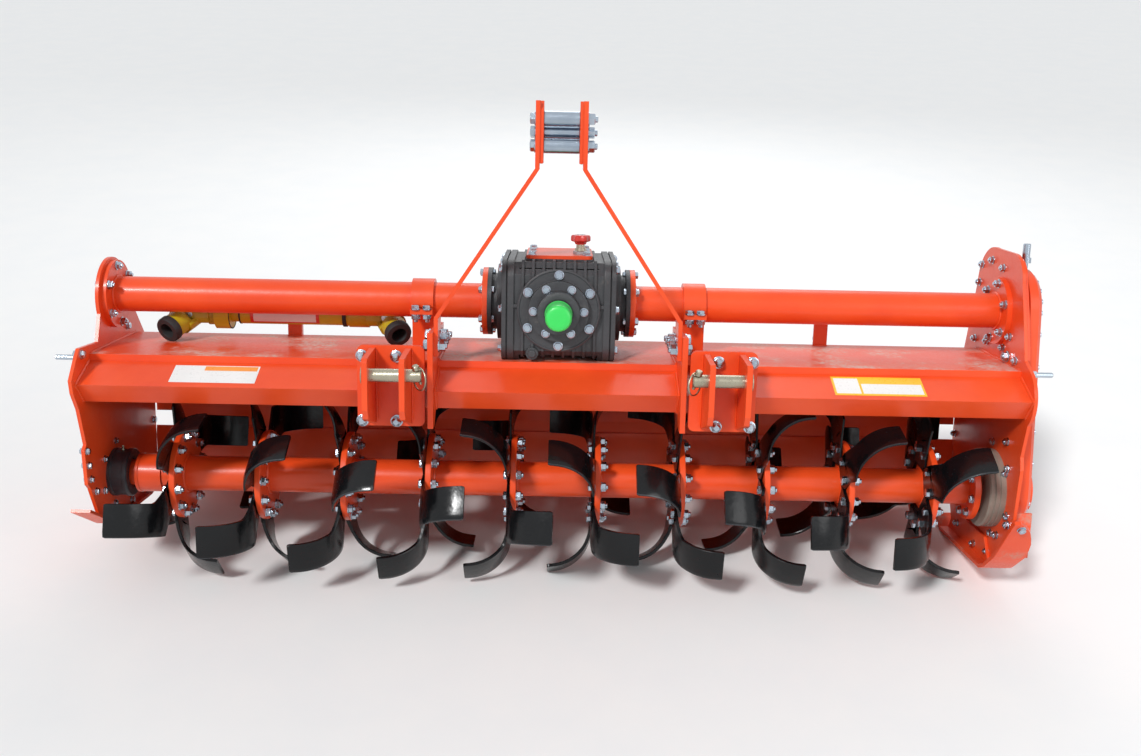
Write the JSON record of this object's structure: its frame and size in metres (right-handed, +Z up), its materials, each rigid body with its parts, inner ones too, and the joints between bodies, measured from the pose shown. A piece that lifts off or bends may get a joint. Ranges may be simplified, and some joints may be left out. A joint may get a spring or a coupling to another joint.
{
  "type": "rotary tiller, tractor mounted",
  "caption": "Tractor three-point rotary tiller: gearbox and mast over a hood, a free-turning rotor with bent blades, and a hinged tailboard.",
  "frame": {"origin": "on the floor under the middle of the parked machine", "axes": "+X across the machine towards the gear case end, +Y to the rear (the tailboard side), +Z up; the machine is parked nose-up on its blades, its right skid and its tailboard"},
  "size_m": [2.198, 0.7088, 1.1373],
  "materials": {
    "black_blade": "gloss black paint on spring steel",
    "black_casting": "satin black paint",
    "bright_steel": "satin",
    "green_plastic": "bright green, smooth",
    "grey_casting": "dull cast",
    "orange_red_paint": "glossy orange-red enamel",
    "yellow_paint": "yellow, satin",
    "yellow_plastic": "yellow, slightly rough",
    "yellow_zinc": "yellow zinc plate",
    "zinc_chain": "bluish zinc plate"
  },
  "bodies": {
    "frame": {"bearing_hub_left": "black_casting", "bearing_hub_right": "grey_casting", "chain_left": "zinc_chain", "chain_right": "zinc_chain", "deck": "orange_red_paint", "driveline_guard": "yellow_plastic", "driveline_joint": "yellow_paint", "driveline_yoke": "yellow_paint", "filler_cap": "bright_steel", "front_beam": "orange_red_paint", "gear_case": "orange_red_paint", "gearbox_front_cover": "black_casting", "gearbox_housing": "black_casting", "gearbox_top_plate": "orange_red_paint", "head_bush_bottom": "orange_red_paint", "head_bush_middle": "orange_red_paint", "head_bush_top": "orange_red_paint", "head_plate_left": "orange_red_paint", "head_plate_right": "orange_red_paint", "lower_hitch_left": "orange_red_paint", "lower_hitch_right": "orange_red_paint", "lower_pin_left": "yellow_zinc", "lower_pin_right": "yellow_zinc", "mast_bar_left": "orange_red_paint", "mast_bar_right": "orange_red_paint", "mast_foot_left": "orange_red_paint", "mast_foot_right": "orange_red_paint", "rear_hood": "orange_red_paint", "side_plate_left": "orange_red_paint", "side_plate_right": "orange_red_paint", "skid_left": "orange_red_paint", "skid_right": "orange_red_paint", "top_tube_left": "orange_red_paint", "top_tube_right": "orange_red_paint", "tube_clamp_left": "orange_red_paint", "tube_clamp_right": "orange_red_paint"},
    "rotor": {"rotor_tube": "orange_red_paint", "tine_ring_01": "black_blade", "tine_ring_02": "black_blade", "tine_ring_03": "black_blade", "tine_ring_04": "black_blade", "tine_ring_05": "black_blade", "tine_ring_06": "black_blade", "tine_ring_07": "black_blade", "tine_ring_08": "black_blade", "tine_ring_09": "black_blade", "tine_ring_10": "black_blade"},
    "pto_input": {"pto_shaft": "bright_steel", "pto_cap": "green_plastic"},
    "tailboard_flap": {"tailboard": "orange_red_paint", "flap_chain_left": "zinc_chain", "flap_chain_right": "zinc_chain"}
  },
  "joints": [
    {"name": "rotor_spin", "type": "hinge", "parent": "frame", "child": "rotor", "pos_m": [-0.021, -0.0998, 0.2429], "axis": [1, 0, 0], "continuous": true},
    {"name": "pto_spin", "type": "hinge", "parent": "frame", "child": "pto_input", "pos_m": [-0.021, -0.18534, 0.69552], "axis": [0, -0.977, 0.213], "continuous": true},
    {"name": "tailboard_hinge", "type": "hinge", "parent": "frame", "child": "tailboard_flap", "pos_m": [-0.021, 0.1968, 0.17619], "axis": [1, 0, 0], "range_deg": [0, 50]}
  ],
  "couplings": [
    {"joint": "pto_spin", "follows": "rotor_spin", "ratio": 2.4}
  ]
}
